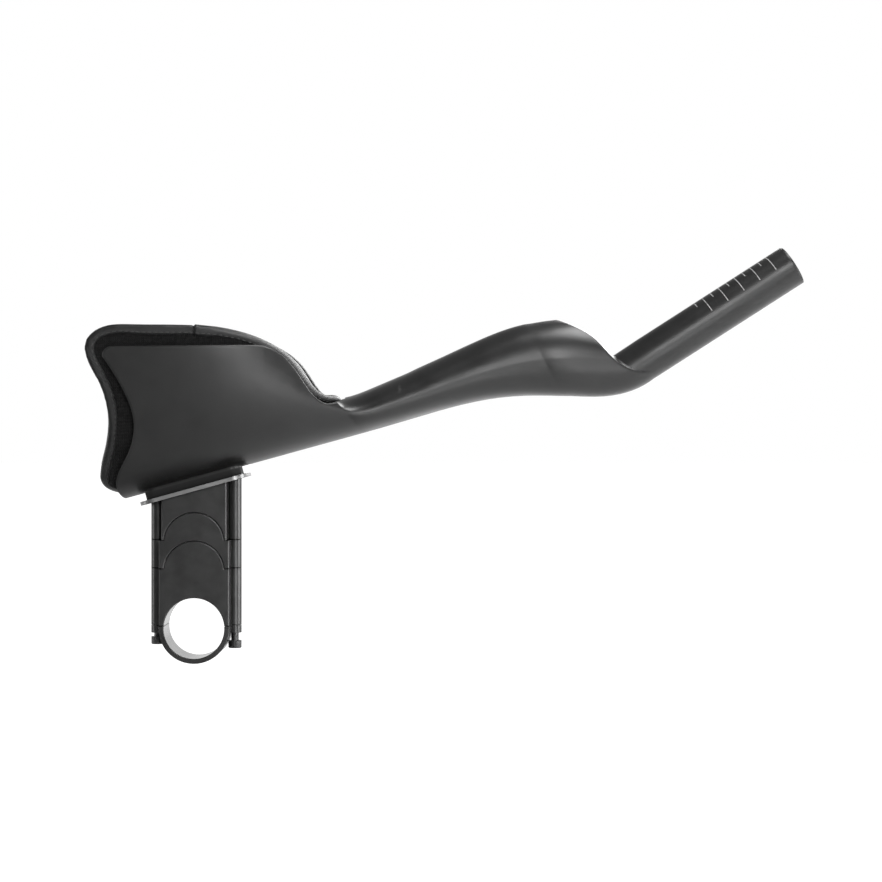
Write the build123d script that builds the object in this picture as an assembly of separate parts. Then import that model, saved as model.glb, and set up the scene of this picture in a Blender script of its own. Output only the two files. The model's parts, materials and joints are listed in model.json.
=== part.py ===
from build123d import *
import math
import os

# Aero handlebar extension, in millimetres.
# X points forward along the bicycle, Y across it, Z up.
# The origin is the centre of the handlebar clamp, and the clamp's axis runs along Y.

# Bar clamp
bar_radius = 15.9            # standard 31.8 mm handlebar
clamp_depth = 26.0           # length of the clamp along the bar
clamp_split = 1.35           # the upper half of the clamp ends this far above the bar's middle
strap_gap = 0.3              # from there down to the ends of the strap
strap_thickness = 2.6
ear_thickness = 4.0

# Riser column
web_half_width = 18.4
block_half_width = 17.0
tall_height = 30.0
short_height = 15.0
block_height = 25.7          # at the clamp's centre line, under the plate
nest_clearance = 0.1         # between an arched top and the arch that sits on it
boss_radius = 3.55           # the bolt columns at the front and rear of the risers
boss_offset = 20.4
edge_break = 0.35

# Clamp bolts, M4
bolt_radius = 2.0
bolt_length = 60.0
bolt_head_radius = 3.5
bolt_head_height = 4.0
bolt_socket_width = 3.0
bolt_socket_depth = 2.0
bolt_clearance = 0.2
thread_clearance = 0.05
thread_run_out = 2.0         # hole left beyond the end of a bolt or screw
rear_bolt_backed_out = 2.1   # neither bolt is screwed home
front_bolt_backed_out = 4.2
hole_margin = 1.0            # how far a hole's cutter passes the faces

# Seat under the arm cup
seat_tilt = 15.4             # degrees, nose up, for the keel, the plate and the block's top
boss_drop = 4.0              # from the keel down to the plate
boss_length = 52.0
boss_width = 22.0
boss_corner = 5.0
plate_length = 58.5
plate_width = 36.0
plate_thickness = 2.0
plate_corner = 8.0
plate_shift = -1.4           # middle of the plate, from the clamp's

# Cup screws, M5, from the cup floor into the block
screw_radius = 2.5
screw_spacing = 22.0
screw_shift = -1.6           # middle of the pair, from the plate's middle
screw_length = 12.0
screw_head_radius = 4.75
screw_head_height = 2.75
screw_socket_width = 3.0
screw_socket_depth = 1.6
screw_clearance = 0.25
washer_radius = 5.0
washer_thickness = 1.0
washer_clearance = 0.5
washer_floor = 2.2           # carbon left under the washers

# Shell
wall = 2.0
tube_radius = 11.1           # standard 22.2 mm shifter tube
tube_bore_radius = 9.5
tube_length = 100.0
tube_tilt = 32.7
tube_end_x = 315.6
tube_end_height = 113.3
neck_run_in = 8.0            # how far the neck reaches into the tube before it ends
neck_sink = 0.3              # how far below the tube's surface it ends
tube_lead = 9.0              # how far the tube's start tapers before it has its full radius
tube_heel = 8.0              # how far it runs back into the hump
heel_taper = 0.3             # how much slimmer it is where it ends in there
heel_depth = 3.2             # how far it reaches below the tube's axis in there
neck_cover = 0.6             # how far the neck stands out under the start of the tube
thumb_crown = 40.0           # radius across the thumb face, which is cut into the hump's front
thumb_half_width = 24.0
thumb_cut_height = 24.0
soft_square = 0.60           # fullness of an oval: 0.5523 is a true ellipse, more is squarer
ellipse = 0.5523

# Pad
pad_gap = 1.5                # room for the hook tape between the shell and the pad
pad_thickness = 8.0
binding_width = 5.5
tape_clearance = 0.15
patch_length = 26.0
patch_width = 18.0
wall_patch_height = 40.0     # middle of the patches on the cup's walls

# Reach of the shapes that cut others, past the whole part
beyond = 260.0

# Worked-out heights and directions
strap_end = clamp_split - strap_gap
column_top = clamp_split + tall_height + short_height
seat_angle = math.radians(seat_tilt)
seat_up = Vector(-math.sin(seat_angle), 0, math.cos(seat_angle))
seat_along = Vector(math.cos(seat_angle), 0, math.sin(seat_angle))
keel_base = column_top + block_height + (plate_thickness + boss_drop) / math.cos(seat_angle)
tube_angle = math.radians(tube_tilt)
tube_direction = Vector(math.cos(tube_angle), 0, math.sin(tube_angle))
tube_up = Vector(-math.sin(tube_angle), 0, math.cos(tube_angle))


def side_point(x, height):
    """Point of the side view, at a height above the keel over the clamp's centre."""
    return Vector(x, 0, keel_base + height)


def keel(x, rise=0.0):
    """Point of the straight keel under the cup, or above it by the rise."""
    return side_point(x, x * math.tan(seat_angle) + rise)


tube_end = side_point(tube_end_x, tube_end_height)
tube_root = tube_end - tube_direction * tube_length
seat_origin = keel(plate_shift) - seat_up * boss_drop
screw_places = [screw_shift - screw_spacing / 2, screw_shift + screw_spacing / 2]

# Cup sections, rear to front: distance along X, height of the top, half width.
# They close high above the rim of the cup, which is cut later.
cup_sections = [(-66, 153.7, 50.0), (-20, 151.7, 49.0), (18, 139.7, 46.0)]
cup_sections += [(42, 107.7, 40.5), (58, 69.7, 34.0)]

# Outer sections of the shell: top, bottom, half width, fullness
outer_sections = [
    (side_point(x, top), keel(x), half_width, soft_square) for x, top, half_width in cup_sections
]
outer_sections += [
    (side_point(71, 44.2), keel(71), 28.5, soft_square),
    (side_point(84, 44.5), keel(84), 25.0, soft_square),
]
grip_sections = [
    (side_point(108, 54.6), side_point(108, 30.0), 21.5, soft_square),
    (side_point(136, 67.3), side_point(136, 38.1), 18.8, soft_square),
    (side_point(163, 78.9), side_point(163, 43.3), 17.2, soft_square),
    (side_point(188, 84.1), side_point(188, 44.1), 16.6, soft_square),
    (side_point(205, 82.8), side_point(207, 43.6), 15.6, soft_square),
    (side_point(214.5, 79.0), side_point(221, 44.3), 13.8, soft_square),
    (side_point(221.5, 75.6), side_point(230, 46.7), 12.9, soft_square),
]
neck_radius = tube_radius + neck_cover
grip_end = (side_point(224.5, 73.5), tube_root - tube_up * neck_radius, neck_radius, soft_square)
thumb_line = [(182, 86.0), (190, 84.5), (198, 82.1), (206, 78.6), (214, 72.2), (220.5, 65.4), (226.5, 61.0)]
thumb_line += [(233, 58.4), (242, 57.4)]

# Sections of the hollow in the hump, which stays under the thumb face
hollow_sections = [
    (side_point(205, 74.5), side_point(207, 46.2), 13.2, soft_square),
    (side_point(214.5, 65.5), side_point(221, 47.0), 11.4, ellipse),
    (side_point(221.5, 60.3), side_point(229, 49.2), 9.8, ellipse),
]

# Sections of the arm trough, whose floor rises to the nose
floor_rises = [wall, wall, wall, 1.5 * wall, 3.5 * wall]
trough_sections = [
    (side_point(x, top - wall), keel(x, rise), half_width - wall, soft_square)
    for (x, top, half_width), rise in zip(cup_sections, floor_rises)
]
nose_sections = [
    (side_point(70, 48.2), keel(70, 13.0), 24.0, soft_square),
    (side_point(79, 47.0), keel(79, 18.5), 11.0, soft_square),
]
pad_hollow_nose = (side_point(70, 60.0), keel(70, 23.0), 17.0, soft_square)

# Edges seen from the side, as distance along X and height
rim_rear = [(-36.8, -11.0), (-39.3, -2.3), (-32.4, 11.7), (-27.5, 29.7), (-31.0, 43.2), (-42.6, 63.0)]
rim_shoulder = (-41.5, 66.8)
rim_corner = (-37.7, 68.4)
rim_top_front = (36.0, 69.3)
rim_front = [(50.5, 61.7), (58.5, 50.7), (64.0, 43.3), (70.0, 39.7), (76.5, 41.2), (82.0, 48.0)]
pad_edge = [(-37.0, -12.0), (-42.5, -6.6), (-47.2, -3.2), (-47.2, 5.0), (-42.8, 19.7), (-41.4, 33.7)]
pad_edge += [(-46.0, 51.3), (-51.2, 61.6), (-51.6, 72.0), (-45.0, 78.0), (-28.0, 80.0), (4.0, 79.5)]
pad_edge += [(25.0, 76.7), (42.5, 70.1), (54.0, 61.2), (61.5, 50.9), (65.8, 46.8), (70.8, 44.6), (77.5, 43.2)]


def inset_section(section, inset):
    top, bottom, half_width, fullness = section
    up = (top - bottom).normalized() * inset
    return (top - up, bottom + up, half_width - inset, fullness)


def places_along(sections):
    """Parameter of each section, in step with the distance between the sections' middles."""
    middles = [(top + bottom) * 0.5 for top, bottom, half_width, fullness in sections]
    distances = [0.0]
    for before, after in zip(middles, middles[1:]):
        distances.append(distances[-1] + (after - before).length)
    return [distance / distances[-1] for distance in distances]


def between(places, values, place):
    for start, end, low, high in zip(places, places[1:], values, values[1:]):
        if place <= end:
            return low + (high - low) * (place - start) / (end - start)
    return values[-1]


def oval(top, bottom, half_width, fullness):
    """Closed oval section in four matching quarters, from the bottom round."""
    centre = (top + bottom) * 0.5
    up = top - centre
    side = Vector(0, half_width, 0)
    axes = [up * -1, side, up, side * -1]
    quarters = []
    for start, end in zip(axes, axes[1:] + axes[:1]):
        handles = [start, start + end * fullness, end + start * fullness, end]
        quarters.append(Edge.make_bezier(*[centre + handle for handle in handles]))
    return Wire(quarters)


def skin(sections, pieces):
    """Closed body whose oval sections follow a crown, a keel and a shoulder line."""
    tops, bottoms, half_widths, fullnesses = zip(*sections)
    places = places_along(sections)
    shoulders = [(t + b) * 0.5 + Vector(0, w, 0) for t, b, w in zip(tops, bottoms, half_widths)]
    crown_line = Edge.make_spline(list(tops), parameters=places)
    keel_line = Edge.make_spline(list(bottoms), parameters=places)
    shoulder_line = Edge.make_spline(shoulders, parameters=places)
    steps = 4
    ovals = []
    for row in range(pieces * steps + 1):
        place = row / (pieces * steps)
        top = crown_line.position_at(place)
        bottom = keel_line.position_at(place)
        half_width = shoulder_line.position_at(place).Y
        ovals.append(oval(top, bottom, half_width, between(places, fullnesses, place)))
    lengths = [Solid.make_loft(ovals[first:first + steps + 1]) for first in range(0, pieces * steps, steps)]
    return lengths[0].fuse(*lengths[1:]) if pieces > 1 else lengths[0]


def side_curve(points):
    return Edge.make_spline([side_point(*point) for point in points])


def side_path(points):
    corners = [side_point(*point) for point in points]
    return [Edge.make_line(start, end) for start, end in zip(corners, corners[1:])]


def across(outline):
    """Prism across the whole width from an outline of the side view."""
    prism = Solid.extrude(Face(outline), Vector(0, beyond, 0))
    return prism.moved(Location((0, -beyond / 2, 0)))


def tube_plane(along):
    """Plane square to the tube, at a distance from the tube's root."""
    return Plane(origin=tube_root + tube_direction * along, x_dir=(0, 1, 0), z_dir=tube_direction)


def tube_rod(radius, start=0.0):
    return Solid.make_cylinder(radius, tube_length - start, tube_plane(start))


def tube_start():
    """The tapered start of the tube, of which only the crown runs back into the hump."""
    heel_radius = tube_radius - heel_taper
    cone = Solid.make_cone(heel_radius, tube_radius, tube_heel + tube_lead, tube_plane(-tube_heel))
    under = Plane(origin=tube_root - tube_up * heel_depth, x_dir=tube_direction, z_dir=tube_up * -1)
    return cone - extrude(under * Pos(-beyond / 2, 0) * Rectangle(beyond, beyond), beyond)


def thumb_cut():
    """Everything above the thumb face, which is crowned across and runs down the hump to the tube."""
    line = side_curve(thumb_line)
    drop = thumb_crown - math.sqrt(thumb_crown ** 2 - thumb_half_width ** 2)
    side = Vector(0, thumb_half_width, 0)
    sections = []
    for row in range(9):
        middle = line.position_at(row / 8)
        low = middle - Vector(0, 0, drop)
        high = middle + Vector(0, 0, thumb_cut_height)
        edges = [Edge.make_three_point_arc(low - side, middle, low + side)]
        corners = [low + side, high + side, high - side, low - side]
        edges += [Edge.make_line(start, end) for start, end in zip(corners, corners[1:])]
        sections.append(Wire(edges))
    return Solid.make_loft(sections[:5]).fuse(Solid.make_loft(sections[4:]))


def neck_end(radius):
    """Round section inside the tube, where the neck has sunk below the tube's surface."""
    centre = tube_root + tube_direction * neck_run_in
    up = tube_up * (radius - neck_sink)
    return (centre + up, centre - up, radius - neck_sink, ellipse)


def seat_frame(along, height):
    """Frame tilted with the seat; height 0 is the plate's top face."""
    origin = seat_origin + seat_along * along + seat_up * height
    return Plane(origin=origin, x_dir=seat_along, z_dir=seat_up)


def seat_rod(along, radius, low, high):
    return Solid.make_cylinder(radius, high - low, seat_frame(along, low))


def seat_slab(length, width, corner, low, high):
    return extrude(seat_frame(0, low) * RectangleRounded(length, width, corner), high - low)


def hexagon(plane, across_flats, depth):
    return extrude(plane * RegularPolygon(across_flats / 2, 6, major_radius=False), depth)


def cup_cutter():
    """Everything above and behind the rim of the arm cup."""
    front = rim_front[-1]
    rear = rim_rear[0]
    outline = [side_curve(rim_rear), side_curve([rim_top_front] + rim_front)]
    corner = [side_point(*point) for point in (rim_rear[-1], rim_shoulder, rim_corner)]
    outline.append(Edge.make_three_point_arc(*corner))
    outline += side_path([rim_corner, rim_top_front])
    outline += side_path([front, (front[0], beyond), (-beyond, beyond)])
    outline += side_path([(-beyond, beyond), (-beyond, -beyond), (rear[0], -beyond), rear])
    return across(Wire(outline))


def extension_shell():
    body = skin(outer_sections + grip_sections + [grip_end, neck_end(tube_radius)], pieces=6)
    body -= thumb_cut()
    body += tube_rod(tube_radius, start=tube_lead)
    body += tube_start()
    body += seat_slab(boss_length, boss_width, boss_corner, 0, boss_drop + 4 * wall)
    body -= cup_cutter()
    body -= skin(trough_sections + nose_sections, pieces=3)
    grip_inside = [inset_section(section, wall) for section in grip_sections[:4]] + hollow_sections
    body -= skin(grip_inside + [neck_end(tube_bore_radius)], pieces=3) + tube_rod(tube_bore_radius)
    above = boss_drop + 20 * wall
    for along in screw_places:
        body -= seat_rod(along, screw_radius + screw_clearance, -boss_drop, above)
        body -= seat_rod(along, washer_radius + washer_clearance, washer_floor, above)
    return body


def pad_region(inset):
    """Prism of the side view inside the pad's edge, which is drawn in by the inset."""
    points = [Vector(x, height, 0) for x, height in pad_edge]
    edge = []
    for before, point, after in zip(points[:1] + points, points, points[1:] + points[-1:]):
        forward = (after - before).normalized()
        edge.append((point.X + forward.Y * inset, point.Y - forward.X * inset))
    outline = [side_curve(edge)]
    outline += side_path([edge[-1], (edge[-1][0], -beyond), (edge[0][0], -beyond), edge[0]])
    return across(Wire(outline))


def lining(inset):
    """Body of the arm trough, drawn in from the shell's inner face."""
    return skin([inset_section(section, inset) for section in trough_sections + nose_sections], pieces=3)


def pad_body():
    hollow = [inset_section(section, pad_gap + pad_thickness) for section in trough_sections]
    return lining(pad_gap) - skin(hollow + [pad_hollow_nose], pieces=3)


def forearm_pad():
    return pad_body() & pad_region(binding_width)


def pad_binding():
    return (pad_body() & pad_region(0)) - pad_region(binding_width)


def hook_patches():
    """Four patches of hook tape: two on the cup's floor and one on each wall."""
    tape = lining(tape_clearance)
    pad_side = lining(pad_gap - tape_clearance)
    reach = 2 * cup_sections[0][2]
    floor_places = [-patch_length, patch_length / 2]
    boxes = [Box(patch_length, patch_width, reach).moved(Location((x, 0, keel_base))) for x in floor_places]
    for side in (-1, 1):
        place = Location((0, side * reach / 2, keel_base + wall_patch_height))
        boxes.append(Box(patch_length, reach, patch_width).moved(place))
    return Compound([((tape & box) - pad_side).solids()[0] for box in boxes])


def seat_plate():
    plate = seat_slab(plate_length, plate_width, plate_corner, -plate_thickness, 0)
    for along in screw_places:
        plate -= seat_rod(along, screw_radius + screw_clearance, -2 * plate_thickness, plate_thickness)
    return plate


def riser(bottom, top, half_width, dome):
    """Upright with an arch below, a bolt column at each end and, if asked for, a domed top."""
    middle = (bottom + top) / 2
    height = top - bottom
    body = Box(2 * half_width, clamp_depth, height).moved(Location((0, 0, middle)))
    lying = Location((0, 0, 0), (90, 0, 0))
    if dome:
        dome_radius = bar_radius - nest_clearance
        cylinder = Cylinder(dome_radius, clamp_depth).moved(Location((0, 0, top - clamp_split)) * lying)
        body += cylinder - Box(beyond, beyond, beyond).moved(Location((0, 0, top - beyond / 2)))
    arch = Cylinder(bar_radius, 2 * clamp_depth).moved(Location((0, 0, bottom - clamp_split)) * lying)
    body -= arch
    sides = body.faces().sort_by(Axis.Y)
    body = chamfer(sides[0].edges() + sides[-1].edges(), edge_break)
    for side in (-1, 1):
        body += Cylinder(boss_radius, height).moved(Location((side * boss_offset, 0, middle)))
    return body


def bolt_hole(side, low, high, radius):
    return Cylinder(radius, high - low).moved(Location((side * boss_offset, 0, (low + high) / 2)))


def tall_spacer():
    bottom = clamp_split
    top = bottom + tall_height
    body = riser(bottom, top, web_half_width, dome=True)
    for side in (-1, 1):
        body -= bolt_hole(side, bottom - hole_margin, top + hole_margin, bolt_radius + bolt_clearance)
    return body


def short_spacer():
    bottom = clamp_split + tall_height
    body = riser(bottom, column_top, web_half_width, dome=True)
    for side in (-1, 1):
        body -= bolt_hole(side, bottom - hole_margin, column_top + hole_margin, bolt_radius + bolt_clearance)
    return body


def top_block():
    body = riser(column_top, column_top + 2 * block_height, block_half_width, dome=False)
    body -= seat_slab(beyond, beyond, boss_corner, -plate_thickness, beyond)
    thread_end = strap_end - ear_thickness + bolt_length + thread_run_out
    for side in (-1, 1):
        body -= bolt_hole(side, column_top - hole_margin, thread_end, bolt_radius + thread_clearance)
    screw_end = washer_floor + washer_thickness - screw_length - thread_run_out
    for along in screw_places:
        body -= seat_rod(along, screw_radius + thread_clearance, screw_end, 0)
    return body


def clamp_strap():
    outer = bar_radius + strap_thickness
    lying = Location((0, 0, 0), (90, 0, 0))
    body = Cylinder(outer, clamp_depth).moved(lying)
    ear_middle = strap_end - ear_thickness / 2
    for side in (-1, 1):
        ear = Cylinder(boss_radius, ear_thickness).moved(Location((side * boss_offset, 0, ear_middle)))
        body += ear
    body -= Cylinder(bar_radius, 2 * clamp_depth).moved(lying)
    body -= Box(beyond, beyond, beyond).moved(Location((0, 0, strap_end + beyond / 2)))
    seat = strap_end - ear_thickness
    for side in (-1, 1):
        body -= bolt_hole(side, seat - hole_margin, strap_end + hole_margin, bolt_radius + bolt_clearance)
        body -= bolt_hole(side, seat - bar_radius, seat, bolt_head_radius + bolt_clearance)
    return body


def clamp_bolt(side, backed_out):
    seat = strap_end - ear_thickness - backed_out
    head = Cylinder(bolt_head_radius, bolt_head_height).moved(Location((0, 0, seat - bolt_head_height / 2)))
    head = chamfer(head.edges().sort_by(Axis.Z)[0], edge_break)
    shank = Cylinder(bolt_radius, bolt_length).moved(Location((0, 0, seat + bolt_length / 2)))
    body = head + shank
    body -= hexagon(Plane.XY.offset(seat - bolt_head_height), bolt_socket_width, bolt_socket_depth)
    return body.moved(Location((side * boss_offset, 0, 0)))


def clamp_bolts():
    return Compound([clamp_bolt(-1, rear_bolt_backed_out), clamp_bolt(1, front_bolt_backed_out)])


def cup_washers():
    rings = []
    for along in screw_places:
        low = washer_floor
        high = low + washer_thickness
        hole = seat_rod(along, screw_radius + screw_clearance, low - hole_margin, high + hole_margin)
        rings.append(seat_rod(along, washer_radius, low, high) - hole)
    return Compound(rings)


def cup_screws():
    screws = []
    for along in screw_places:
        seat = washer_floor + washer_thickness
        top = seat + screw_head_height
        body = seat_rod(along, screw_head_radius, seat, top)
        body += seat_rod(along, screw_radius, seat - screw_length, seat)
        body -= hexagon(seat_frame(along, top - screw_socket_depth), screw_socket_width, screw_socket_depth)
        screws.append(body)
    return Compound(screws)


sub_parts = [
    extension_shell, forearm_pad, pad_binding, hook_patches, seat_plate, top_block, short_spacer, tall_spacer,
    clamp_strap, clamp_bolts, cup_screws, cup_washers,
]

os.makedirs("parts", exist_ok=True)
for sub_part in sub_parts:
    export_step(sub_part(), f"parts/{sub_part.__name__}.step")
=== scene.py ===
import json
import math

import bmesh
import bpy
from mathutils import Matrix, Vector
from mathutils.bvhtree import BVHTree


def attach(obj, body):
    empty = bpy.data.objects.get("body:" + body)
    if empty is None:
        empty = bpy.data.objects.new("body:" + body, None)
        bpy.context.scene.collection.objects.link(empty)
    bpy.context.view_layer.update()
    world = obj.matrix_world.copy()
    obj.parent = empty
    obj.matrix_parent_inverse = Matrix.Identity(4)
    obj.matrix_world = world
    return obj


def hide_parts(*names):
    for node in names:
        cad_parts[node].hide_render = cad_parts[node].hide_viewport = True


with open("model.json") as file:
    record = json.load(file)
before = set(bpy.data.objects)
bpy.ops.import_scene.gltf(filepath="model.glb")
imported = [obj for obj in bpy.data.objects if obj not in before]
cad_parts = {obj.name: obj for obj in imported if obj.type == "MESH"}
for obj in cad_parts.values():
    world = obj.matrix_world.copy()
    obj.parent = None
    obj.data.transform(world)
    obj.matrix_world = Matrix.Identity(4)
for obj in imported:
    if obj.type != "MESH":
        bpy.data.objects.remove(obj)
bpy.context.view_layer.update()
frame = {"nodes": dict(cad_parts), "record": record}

nodes = frame["nodes"]
scene = bpy.context.scene
MM = 0.001
WHITE = (1.0, 1.0, 1.0, 1.0)

# Bar clamp and shifter tube, from the record's mounts
mounts = {mount["name"]: mount for mount in frame["record"]["mounts"]}
clamp_radius = mounts["bar_clamp"]["dims"]["r_mm"] * MM
tube = mounts["shifter_tube"]
tube_radius = tube["dims"]["r_mm"] * MM
tube_along = Vector(tube["axis"]).normalized()
tube_up = Vector((-tube_along.z, 0.0, tube_along.x))
tube_end = Vector(tube["pos_m"]) + tube_along * tube["dims"]["length_mm"] / 2 * MM

# Seat of the shell: its tilt in degrees, and the keel's level square to that tilt
seat_tilt = 15.4
seat_drop = 4.0 * MM
seat_reach = 70.0 * MM
seat_up = Vector((-math.sin(math.radians(seat_tilt)), 0.0, math.cos(math.radians(seat_tilt))))
plate_top = max(seat_up.dot(vertex.co) for vertex in nodes["seat_plate"].data.vertices)
keel_level = plate_top + seat_drop

# Levels where the risers meet; a band of painted shade marks the gap there on the bolt columns at their sides
column_inner = 17.2 * MM
column_outer = 20.0 * MM
shade_band_half = 0.3 * MM
joint_levels = [
    max(vertex.co.z for vertex in nodes[riser].data.vertices if abs(vertex.co.x) > column_outer)
    for riser in ("tall_spacer", "short_spacer")
]

# Middle of the arm that lies in the pad
arm_level = 150.0 * MM


# Finishes

def new_finish(name):
    finish = bpy.data.materials.new(name)
    finish.use_nodes = True
    tree = finish.node_tree
    shader = tree.nodes["Principled BSDF"]
    place = tree.nodes.new("ShaderNodeTexCoord").outputs["Object"]
    return finish, tree, shader, place


def parts_of(tree, vector):
    node = tree.nodes.new("ShaderNodeSeparateXYZ")
    tree.links.new(vector, node.inputs["Vector"])
    return node.outputs


def stretched(tree, place, scale, turn=(0.0, 0.0, 0.0)):
    mapping = tree.nodes.new("ShaderNodeMapping")
    mapping.inputs["Scale"].default_value = scale
    mapping.inputs["Rotation"].default_value = [math.radians(angle) for angle in turn]
    tree.links.new(place, mapping.inputs["Vector"])
    return mapping.outputs["Vector"]


def noise(tree, place, scale, detail=2.0):
    node = tree.nodes.new("ShaderNodeTexNoise")
    node.inputs["Scale"].default_value = scale
    node.inputs["Detail"].default_value = detail
    tree.links.new(place, node.inputs["Vector"])
    return node.outputs["Fac"]


def wave(tree, place, scale, direction, distortion=0.0):
    node = tree.nodes.new("ShaderNodeTexWave")
    node.bands_direction = direction
    node.inputs["Scale"].default_value = scale
    node.inputs["Distortion"].default_value = distortion
    tree.links.new(place, node.inputs["Vector"])
    return node.outputs["Fac"]


def ramp(tree, value, stops):
    """Greys over a value, given as pairs of position and grey."""
    node = tree.nodes.new("ShaderNodeValToRGB")
    points = node.color_ramp.elements
    while len(points) < len(stops):
        points.new(0.5)
    for point, (position, grey) in zip(points, stops):
        point.position = position
        point.color = (grey, grey, grey, 1.0)
    tree.links.new(value, node.inputs["Fac"])
    return node.outputs["Color"]


def span(tree, value, low, high, from_low=0.0, from_high=1.0):
    node = tree.nodes.new("ShaderNodeMapRange")
    node.inputs["From Min"].default_value = from_low
    node.inputs["From Max"].default_value = from_high
    node.inputs["To Min"].default_value = low
    node.inputs["To Max"].default_value = high
    tree.links.new(value, node.inputs["Value"])
    return node.outputs["Result"]


def maths(tree, operation, first, second=0.0):
    node = tree.nodes.new("ShaderNodeMath")
    node.operation = operation
    for socket, value in zip(node.inputs, (first, second)):
        if isinstance(value, (int, float)):
            socket.default_value = value
        else:
            tree.links.new(value, socket)
    return node.outputs["Value"]


def weighed(tree, *shares):
    """Sum of values, each times its own share."""
    total = 0.0
    for value, share in shares:
        total = maths(tree, "ADD", maths(tree, "MULTIPLY", value, share), total)
    return total


def rounded_edges(tree, radius):
    node = tree.nodes.new("ShaderNodeBevel")
    node.samples = 6
    node.inputs["Radius"].default_value = radius
    return node.outputs["Normal"]


def relief(tree, shader, height, distance, strength, normal=None):
    node = tree.nodes.new("ShaderNodeBump")
    node.inputs["Strength"].default_value = strength
    node.inputs["Distance"].default_value = distance
    tree.links.new(height, node.inputs["Height"])
    if normal is not None:
        tree.links.new(normal, node.inputs["Normal"])
    tree.links.new(node.outputs["Normal"], shader.inputs["Normal"])


def satin_carbon():
    """Satin lacquer over carbon, duller on the boss under the cup."""
    finish, tree, shader, place = new_finish("satin_carbon")
    clouds = noise(tree, place, scale=55.0, detail=3.0)
    grain = noise(tree, place, scale=2600.0)
    tree.links.new(ramp(tree, clouds, [(0.3, 0.006), (0.75, 0.010)]), shader.inputs["Base Color"])
    mottle = weighed(tree, (clouds, 0.6), (grain, 0.4))
    satin = span(tree, mottle, low=0.32, high=0.41, from_low=0.3, from_high=0.7)
    on_seat = parts_of(tree, stretched(tree, place, scale=(1.0, 1.0, 1.0), turn=(0.0, seat_tilt, 0.0)))
    below_keel = span(
        tree, on_seat["Z"], low=0.4, high=0.0, from_low=keel_level - 0.4 * MM, from_high=keel_level + 0.2 * MM
    )
    near_seat = maths(tree, "LESS_THAN", on_seat["X"], seat_reach)
    dull = maths(tree, "MULTIPLY", below_keel, near_seat)
    tree.links.new(maths(tree, "ADD", satin, dull), shader.inputs["Roughness"])
    shader.inputs["Specular IOR Level"].default_value = 0.5
    softened = rounded_edges(tree, radius=1.8 * MM)
    relief(tree, shader, grain, distance=0.02 * MM, strength=0.5, normal=softened)
    return finish


def mark_print():
    finish, tree, shader, place = new_finish("mark_print")
    wear = noise(tree, place, scale=900.0, detail=3.0)
    tree.links.new(ramp(tree, wear, [(0.35, 0.16), (0.65, 0.30)]), shader.inputs["Base Color"])
    shader.inputs["Roughness"].default_value = 0.55
    return finish


def knit_cover():
    """Black knit whose rows run along the arm, side by side round it."""
    finish, tree, shader, place = new_finish("knit_cover")
    fuzz = noise(tree, place, scale=1800.0, detail=4.0)
    clouds = noise(tree, place, scale=70.0, detail=3.0)
    specks = noise(tree, place, scale=650.0)
    on_arm = parts_of(tree, place)
    round_arm = maths(tree, "ARCTAN2", on_arm["Y"], maths(tree, "SUBTRACT", on_arm["Z"], arm_level))
    rows_in_turn, looseness = 240.0, 2.0
    loose_rows = weighed(tree, (round_arm, rows_in_turn), (fuzz, looseness))
    rows = span(tree, maths(tree, "SINE", loose_rows), low=0.0, high=1.0, from_low=-1.0, from_high=1.0)
    loops = wave(tree, place, scale=285.0, direction="X", distortion=1.2)
    knit = maths(tree, "MULTIPLY", loops, rows)
    pale_specks = span(tree, specks, low=0.0, high=1.0, from_low=0.35, from_high=0.7)
    tone = weighed(tree, (knit, 0.4), (clouds, 0.3), (pale_specks, 0.4))
    tree.links.new(ramp(tree, tone, [(0.2, 0.002), (0.8, 0.010)]), shader.inputs["Base Color"])
    shader.inputs["Roughness"].default_value = 0.85
    shader.inputs["Specular IOR Level"].default_value = 0.15
    shader.inputs["Sheen Weight"].default_value = 0.06
    shader.inputs["Sheen Roughness"].default_value = 0.5
    surface = weighed(tree, (knit, 1.0), (fuzz, 0.5))
    relief(tree, shader, surface, distance=0.25 * MM, strength=0.7)
    return finish


def binding_weave():
    finish, tree, shader, place = new_finish("binding_weave")
    ribs = wave(tree, place, scale=560.0, direction="DIAGONAL", distortion=1.5)
    fuzz = noise(tree, place, scale=2200.0, detail=3.0)
    clouds = noise(tree, place, scale=120.0, detail=3.0)
    tree.links.new(ramp(tree, clouds, [(0.3, 0.005), (0.7, 0.012)]), shader.inputs["Base Color"])
    tree.links.new(span(tree, clouds, low=0.28, high=0.5), shader.inputs["Roughness"])
    shader.inputs["Specular IOR Level"].default_value = 0.35
    shader.inputs["Sheen Weight"].default_value = 0.04
    shader.inputs["Sheen Roughness"].default_value = 0.4
    surface = weighed(tree, (ribs, 1.0), (fuzz, 0.6))
    relief(tree, shader, surface, distance=0.15 * MM, strength=0.6)
    return finish


def sewing_thread():
    finish, tree, shader, place = new_finish("sewing_thread")
    twist = wave(tree, place, scale=1600.0, direction="DIAGONAL")
    tree.links.new(ramp(tree, twist, [(0.0, 0.010), (1.0, 0.030)]), shader.inputs["Base Color"])
    shader.inputs["Roughness"].default_value = 0.55
    relief(tree, shader, twist, distance=0.05 * MM, strength=0.5)
    return finish


def hook_tape():
    finish, tree, shader, place = new_finish("hook_tape_nap")
    hooks = noise(tree, place, scale=1500.0, detail=1.0)
    tree.links.new(ramp(tree, hooks, [(0.4, 0.006), (0.6, 0.03)]), shader.inputs["Base Color"])
    shader.inputs["Roughness"].default_value = 0.7
    relief(tree, shader, hooks, distance=0.4 * MM, strength=0.8)
    return finish


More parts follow.
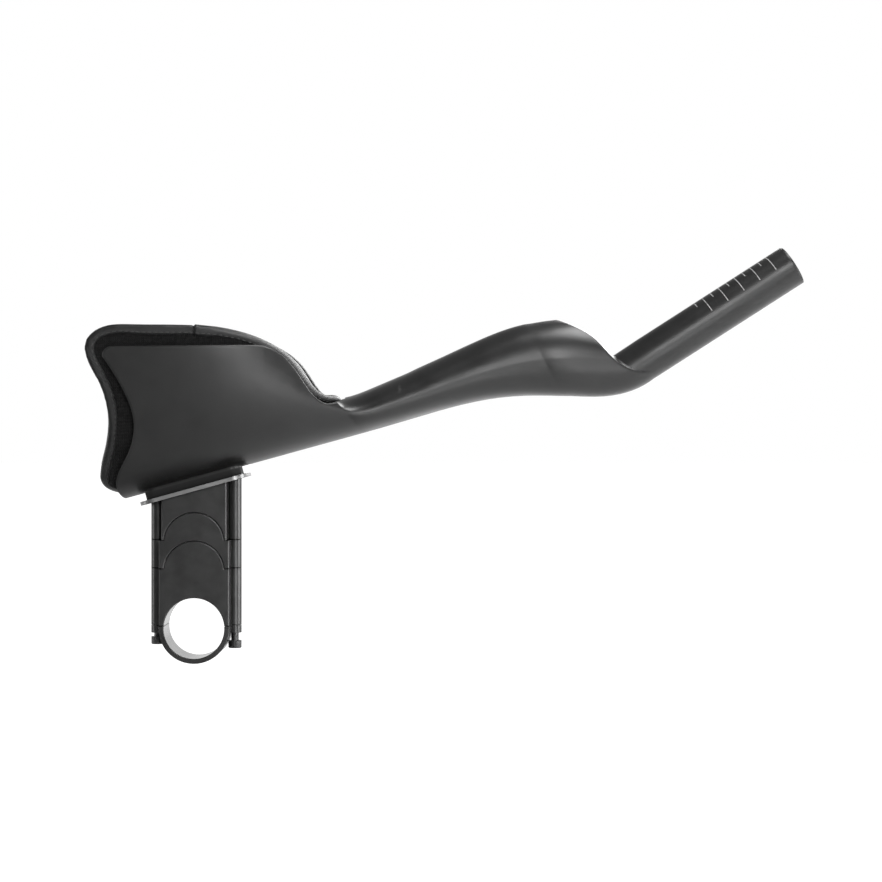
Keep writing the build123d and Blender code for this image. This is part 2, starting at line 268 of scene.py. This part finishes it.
def milled_aluminium():
    """Bare metal with fine mill lines along the tilted plate."""
    finish, tree, shader, place = new_finish("milled_aluminium")
    along_plate = stretched(tree, place, scale=(40.0, 900.0, 900.0), turn=(0.0, seat_tilt, 0.0))
    lines = noise(tree, along_plate, scale=1.0, detail=3.0)
    clouds = noise(tree, place, scale=90.0)
    tree.links.new(ramp(tree, clouds, [(0.3, 0.27), (0.7, 0.36)]), shader.inputs["Base Color"])
    tree.links.new(span(tree, lines, low=0.28, high=0.46), shader.inputs["Roughness"])
    shader.inputs["Metallic"].default_value = 1.0
    softened = rounded_edges(tree, radius=0.3 * MM)
    relief(tree, shader, lines, distance=0.02 * MM, strength=0.4, normal=softened)
    return finish


def black_anodised():
    """Blasted black metal, with painted shade of the gap where the risers meet on the bolt columns, smoother
    in the bar's bore.
    """
    finish, tree, shader, place = new_finish("black_anodised")
    blast = noise(tree, place, scale=3200.0)
    clouds = noise(tree, place, scale=110.0, detail=3.0)
    on_column = parts_of(tree, place)
    outside = maths(tree, "GREATER_THAN", maths(tree, "ABSOLUTE", on_column["X"]), column_inner)
    # Painted shade of the gap where the risers meet: a near-black band on the bolt columns at each joint
    # level
    joint_painted_shade = 0.0
    for level in joint_levels:
        off_joint = maths(tree, "ABSOLUTE", maths(tree, "SUBTRACT", on_column["Z"], level))
        joint_painted_shade = maths(tree, "MAXIMUM", maths(tree, "LESS_THAN", off_joint, shade_band_half), joint_painted_shade)
    tone = maths(tree, "SUBTRACT", clouds, maths(tree, "MULTIPLY", outside, joint_painted_shade))
    greys = ramp(tree, tone, [(0.0, 0.004), (0.25, 0.056), (0.7, 0.072)])
    tree.links.new(greys, shader.inputs["Base Color"])
    from_bar = tree.nodes.new("ShaderNodeVectorMath")
    from_bar.operation = "LENGTH"
    tree.links.new(stretched(tree, place, scale=(1.0, 0.0, 1.0)), from_bar.inputs[0])
    bore_margin, bore_polish = 0.3 * MM, 0.16
    bored = maths(tree, "LESS_THAN", from_bar.outputs["Value"], clamp_radius + bore_margin)
    satin = span(tree, clouds, low=0.29, high=0.38)
    polished = maths(tree, "MULTIPLY", bored, bore_polish)
    tree.links.new(maths(tree, "SUBTRACT", satin, polished), shader.inputs["Roughness"])
    shader.inputs["Metallic"].default_value = 0.85
    softened = rounded_edges(tree, radius=0.6 * MM)
    relief(tree, shader, blast, distance=0.02 * MM, strength=0.5, normal=softened)
    return finish


def blackened_steel():
    """Black steel with knurled bolt heads."""
    finish, tree, shader, place = new_finish("blackened_steel")
    clouds = noise(tree, place, scale=400.0, detail=3.0)
    ridges = [wave(tree, place, scale=380.0, direction=way) for way in ("X", "Y")]
    knurls = maths(tree, "MAXIMUM", *ridges)
    tree.links.new(ramp(tree, clouds, [(0.3, 0.045), (0.7, 0.075)]), shader.inputs["Base Color"])
    tree.links.new(span(tree, clouds, low=0.28, high=0.45), shader.inputs["Roughness"])
    shader.inputs["Metallic"].default_value = 0.9
    softened = rounded_edges(tree, radius=0.2 * MM)
    relief(tree, shader, knurls, distance=0.15 * MM, strength=0.6, normal=softened)
    return finish


def dress(piece, finish):
    piece.data.materials.clear()
    piece.data.materials.append(finish)


anodised = black_anodised()
steel = blackened_steel()
aluminium = milled_aluminium()
for node, finish in {
    "extension_shell": satin_carbon(),
    "hook_patches": hook_tape(),
    "seat_plate": aluminium,
    "cup_washers": aluminium,
    "top_block": anodised,
    "short_spacer": anodised,
    "tall_spacer": anodised,
    "clamp_strap": anodised,
    "clamp_bolts": steel,
    "cup_screws": steel,
}.items():
    dress(nodes[node], finish)


# Pieces

def as_mesh(shape, name):
    mesh = bpy.data.meshes.new(name)
    shape.to_mesh(mesh)
    shape.free()
    return mesh


def new_piece(name, mesh, finish):
    piece = bpy.data.objects.new(name, mesh)
    scene.collection.objects.link(piece)
    dress(piece, finish)
    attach(piece, "root")
    return piece


def merged_shape(node):
    """A copy of a CAD node with its loose triangles joined."""
    shape = bmesh.new()
    shape.from_mesh(nodes[node].data)
    bmesh.ops.remove_doubles(shape, verts=shape.verts, dist=0.005 * MM)
    return shape


def applied(piece):
    """Works the piece's modifiers into its mesh and takes them off."""
    shown = piece.evaluated_get(bpy.context.evaluated_depsgraph_get())
    mesh = bpy.data.meshes.new_from_object(shown)
    piece.modifiers.clear()
    before = piece.data
    piece.data = mesh
    bpy.data.meshes.remove(before)


def even_skin(piece, drawn_in, voxel, smoothing):
    """Draws the surface in a little and gives it an even net with softened edges."""
    shrink = piece.modifiers.new("drawn_in", "DISPLACE")
    shrink.strength = -drawn_in
    shrink.mid_level = 0.0
    net = piece.modifiers.new("net", "REMESH")
    net.mode = "VOXEL"
    net.voxel_size = voxel
    soften = piece.modifiers.new("soften", "SMOOTH")
    soften.factor = 0.5
    soften.iterations = smoothing
    applied(piece)


def tree_of(mesh):
    return BVHTree.FromPolygons([v.co for v in mesh.vertices], [f.vertices for f in mesh.polygons])


def tucked_pad(edge, tuck):
    """Copy of the pad whose edge is pulled out into the tape."""
    touching = 0.02 * MM
    shape = merged_shape("forearm_pad")
    moves = {}
    for face in shape.faces:
        if edge.find_nearest(face.calc_center_median())[3] < touching:
            for vertex in face.verts:
                moves[vertex] = moves.get(vertex, Vector()) + face.normal * face.calc_area()
    for vertex, move in moves.items():
        vertex.co += move.normalized() * tuck
    return as_mesh(shape, "forearm_cushion")


def forearm_cushion():
    """The arm pad: foam in a knitted cover, held in at the sewn edge and swollen between."""
    edge = tree_of(nodes["pad_binding"].data)
    piece = new_piece("forearm_cushion", tucked_pad(edge, tuck=4.2 * MM), knit_cover())
    even_skin(piece, drawn_in=1.1 * MM, voxel=2.0 * MM, smoothing=2)
    sewn = piece.vertex_groups.new(name="sewn_edge")
    held_reach, held_fade = 7.0 * MM, 6.0 * MM
    for vertex in piece.data.vertices:
        distance = edge.find_nearest(vertex.co)[3]
        sewn.add([vertex.index], max(0.0, min(1.0, (held_reach - distance) / held_fade)), "REPLACE")
    at_rest = [vertex.co.copy() for vertex in piece.data.vertices]
    last_frame = 20
    swelling = piece.modifiers.new("swelling", "CLOTH")
    swelling.settings.use_pressure = True
    swelling.settings.uniform_pressure_force = 4.0
    swelling.settings.vertex_group_mass = sewn.name
    swelling.settings.effector_weights.gravity = 0.0
    swelling.point_cache.frame_start = 1
    swelling.point_cache.frame_end = last_frame
    for step in range(1, last_frame + 1):
        scene.frame_set(step)
    applied(piece)
    scene.frame_set(1)
    furthest = 1.9 * MM
    for vertex, start in zip(piece.data.vertices, at_rest):
        move = vertex.co - start
        if move.length > furthest:
            vertex.co = start + move * (furthest / move.length)
    piece.data.shade_smooth()
    round_off = piece.modifiers.new("round_off", "SUBSURF")
    round_off.levels = round_off.render_levels = 1
    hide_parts("forearm_pad")


def edge_tape():
    """Woven tape sewn round the pad's edge, with its ends lapped on the near wall."""
    mesh = as_mesh(merged_shape("pad_binding"), "edge_tape")
    piece = new_piece("edge_tape", mesh, binding_weave())
    even_skin(piece, drawn_in=0.2 * MM, voxel=0.9 * MM, smoothing=8)

    # Thin edges at the pad's nose and low down are blunted, and filled out again
    nose_start, nose_run = 10.0 * MM, 15.0 * MM
    low_start, low_run, low_share = 112.0 * MM, 12.0 * MM, 0.6
    thin = piece.vertex_groups.new(name="thin_edge")
    for vertex in piece.data.vertices:
        forward = (vertex.co.x - nose_start) / nose_run
        low = low_share * min(1.0, (low_start - vertex.co.z) / low_run)
        thin.add([vertex.index], max(0.0, min(1.0, max(forward, low))), "REPLACE")
    blunt = piece.modifiers.new("blunt", "SMOOTH")
    blunt.factor = 0.5
    blunt.iterations = 120
    blunt.vertex_group = thin.name
    refill = piece.modifiers.new("refill", "DISPLACE")
    refill.strength = 0.9 * MM
    refill.mid_level = 0.0
    refill.vertex_group = thin.name
    applied(piece)

    # Lap of the tape's ends: a raised end, with a groove behind it
    lap_start, lap_end, lap_floor, lap_height = 3.8 * MM, 24.0 * MM, 120.0 * MM, 0.5 * MM
    groove_width, groove_depth = 1.0 * MM, 0.45 * MM
    for vertex in piece.data.vertices:
        if vertex.co.y < 0.0 and vertex.co.z > lap_floor:
            if lap_start < vertex.co.x < lap_end:
                vertex.co += vertex.normal * lap_height * (lap_end - vertex.co.x) / (lap_end - lap_start)
            elif lap_start - groove_width < vertex.co.x <= lap_start:
                vertex.co -= vertex.normal * groove_depth
    piece.data.shade_smooth()
    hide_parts("pad_binding")
    return piece


def sewn_lines():
    """The pad's sharp edges against its tape, as closed lines of points with the way towards the tape."""
    sharp, touching, fewest_points = math.radians(40.0), 0.05 * MM, 20
    pad = merged_shape("forearm_pad")
    tape = tree_of(nodes["pad_binding"].data)
    outward = {}
    following = {}
    for edge in pad.edges:
        if len(edge.link_faces) != 2 or edge.calc_face_angle() < sharp:
            continue
        if max(tape.find_nearest(vertex.co)[3] for vertex in edge.verts) > touching:
            continue
        towards = min(edge.link_faces, key=lambda face: tape.find_nearest(face.calc_center_median())[3])
        first, second = edge.verts
        following.setdefault(first.index, []).append(second.index)
        following.setdefault(second.index, []).append(first.index)
        for vertex in edge.verts:
            outward[vertex.index] = outward.get(vertex.index, Vector()) + towards.normal
    pad.verts.ensure_lookup_table()
    lines = []
    left = set(following)
    while left:
        start = left.pop()
        path = [start]
        while True:
            ways = [index for index in following[path[-1]] if index in left]
            if not ways:
                break
            left.discard(ways[0])
            path.append(ways[0])
        if len(path) > fewest_points:
            lines.append([(pad.verts[index].co.copy(), outward[index].normalized()) for index in path])
    pad.free()
    return lines


def seam_stitches(tape):
    """A row of lock stitches along each face of the tape."""
    surface = tree_of(tape.data)
    pitch, length, thickness = 3.0 * MM, 2.1 * MM, 0.5 * MM
    from_edge, lift = 1.3 * MM, 0.08 * MM
    grow = Matrix.Diagonal((length / 2, thickness / 2, thickness / 2, 1.0))
    shape = bmesh.new()
    for line in sewn_lines():
        run = 0.0
        for (start, outward), (end, _) in zip(line, line[1:]):
            step = (end - start).length
            while run < step:
                spot = start.lerp(end, run / step) + outward * from_edge
                place, up = surface.find_nearest(spot)[:2]
                along = (end - start).normalized()
                along = (along - up * along.dot(up)).normalized()
                turn = Matrix((along, up.cross(along), up)).transposed().to_4x4()
                put = Matrix.Translation(place + up * lift) @ turn @ grow
                bmesh.ops.create_icosphere(shape, subdivisions=2, radius=1.0, matrix=put)
                run += pitch
            run -= step
    mesh = as_mesh(shape, "seam_stitches")
    mesh.shade_smooth()
    new_piece("seam_stitches", mesh, sewing_thread())


def tube_marks():
    """Length marks printed across the top of the shifter tube: a long one every 10 mm, short ones between."""
    half_width, lift = 0.22 * MM, 0.02 * MM
    shape = bmesh.new()
    for distance in range(10, 60, 5):
        degrees, steps = (76.0, 24) if distance % 10 == 0 else (39.0, 12)
        half_angle = math.radians(degrees)
        middle = tube_end - tube_along * distance * MM
        start = tube_up * (tube_radius + lift)
        start.rotate(Matrix.Rotation(-half_angle, 3, tube_along))
        ends = [shape.verts.new(middle + start + tube_along * side * half_width) for side in (-1, 1)]
        edge = shape.edges.new(ends)
        bmesh.ops.spin(
            shape, geom=[*ends, edge], cent=middle, axis=tube_along, angle=2 * half_angle, steps=steps
        )
    bmesh.ops.recalc_face_normals(shape, faces=shape.faces)
    new_piece("tube_marks", as_mesh(shape, "tube_marks"), mark_print())


forearm_cushion()
seam_stitches(edge_tape())
tube_marks()


# Stage

def light_reaches(tree, seen, mirrored, lit):
    """Strength that the camera sees, that gloss and glass show, and that falls on things as light."""
    path = tree.nodes.new("ShaderNodeLightPath")
    shiny = maths(tree, "MAXIMUM", path.outputs["Is Glossy Ray"], path.outputs["Is Transmission Ray"])
    camera_part = maths(tree, "MULTIPLY", path.outputs["Is Camera Ray"], seen)
    shiny_part = maths(tree, "MULTIPLY", shiny, mirrored)
    soft = maths(tree, "SUBTRACT", 1.0, maths(tree, "MAXIMUM", path.outputs["Is Camera Ray"], shiny))
    return maths(tree, "ADD", maths(tree, "ADD", camera_part, shiny_part), maths(tree, "MULTIPLY", soft, lit))


def pale_paper():
    """Floor paper with painted reflections: gloss shows it darker towards the cup and brighter towards the
    back, where it also glows for gloss alone.
    """
    finish, tree, shader, place = new_finish("pale_paper")
    on_paper = parts_of(tree, place)
    # Painted reflection: the grey that gloss sees goes from dark near the cup to pale on the right
    reflected_paper_grey = span(tree, on_paper["X"], low=0.2, high=0.72, from_low=0.0, from_high=0.22)
    colour = light_reaches(tree, seen=0.72, mirrored=reflected_paper_grey, lit=0.72)
    tree.links.new(colour, shader.inputs["Base Color"])
    # Painted reflection: a glow that gloss alone sees, rising towards the back
    reflected_paper_glow = span(tree, on_paper["Y"], low=0.0, high=0.8, from_low=0.1, from_high=1.5)
    glow = light_reaches(tree, seen=0.8, mirrored=reflected_paper_glow, lit=0.0)
    tree.links.new(glow, shader.inputs["Emission Strength"])
    shader.inputs["Emission Color"].default_value = WHITE
    shader.inputs["Roughness"].default_value = 0.9
    return finish


def soft_light(name, position, target, width, height, power):
    lamp = bpy.data.lights.new(name, "AREA")
    lamp.shape = "RECTANGLE"
    lamp.size = width
    lamp.size_y = height
    lamp.energy = power
    piece = bpy.data.objects.new(name, lamp)
    piece.location = position
    piece.rotation_euler = (Vector(target) - Vector(position)).to_track_quat("-Z", "Y").to_euler()
    scene.collection.objects.link(piece)


# White studio, whose gloss darkens overhead and behind the camera
world = bpy.data.worlds.new("studio")
scene.world = world
world.use_nodes = True
studio = world.node_tree
sky = studio.nodes["Background"]
sky.inputs["Color"].default_value = WHITE
way = parts_of(studio, studio.nodes.new("ShaderNodeTexCoord").outputs["Generated"])
ceiling = span(studio, way["Z"], low=1.0, high=0.25, from_low=0.15, from_high=0.6)
room = span(studio, way["Y"], low=0.15, high=1.0, from_low=-0.6, from_high=0.25)
studio_gloss = maths(studio, "MULTIPLY", ceiling, room)
sky_light = light_reaches(studio, seen=1.0, mirrored=studio_gloss, lit=0.5)
studio.links.new(sky_light, sky.inputs["Strength"])

floor_reach = 30.0
floor_middle = (0.13, 0.0, -0.22)
floor_shape = bmesh.new()
bmesh.ops.create_grid(floor_shape, x_segments=1, y_segments=1, size=floor_reach)
bmesh.ops.translate(floor_shape, vec=floor_middle, verts=floor_shape.verts)
floor = bpy.data.objects.new("floor", as_mesh(floor_shape, "floor"))
scene.collection.objects.link(floor)
dress(floor, pale_paper())

part_middle = (0.2, 0.0, 0.12)
soft_light("tube_box", (0.35, -1.2, 0.42), part_middle, width=0.22, height=0.38, power=5.6)
soft_light("cup_box", (0.5, -1.05, -0.09), (0.04, 0.0, 0.12), width=0.3, height=0.2, power=1.7)
soft_light("key_box", (0.55, -0.2, 1.1), part_middle, width=0.9, height=0.5, power=17.0)
soft_light("side_strip", (1.3, -0.25, 0.05), (0.05, 0.0, 0.05), width=0.35, height=0.9, power=11.0)
soft_light("left_strip", (-1.1, -0.15, 0.15), (-0.03, 0.0, 0.1), width=0.22, height=0.9, power=3.4)
soft_light("back_box", (0.7, 1.05, 0.75), part_middle, width=0.8, height=0.8, power=13.0)

camera = bpy.data.cameras.new("camera")
camera.lens = 92.4
camera.sensor_width = 36.0
viewpoint = bpy.data.objects.new("camera", camera)
viewpoint.location = (0.1296, -1.2, 0.0984)
viewpoint.rotation_euler = (math.radians(90.0), 0.0, 0.0)
scene.collection.objects.link(viewpoint)
scene.camera = viewpoint

scene.view_settings.view_transform = "Standard"
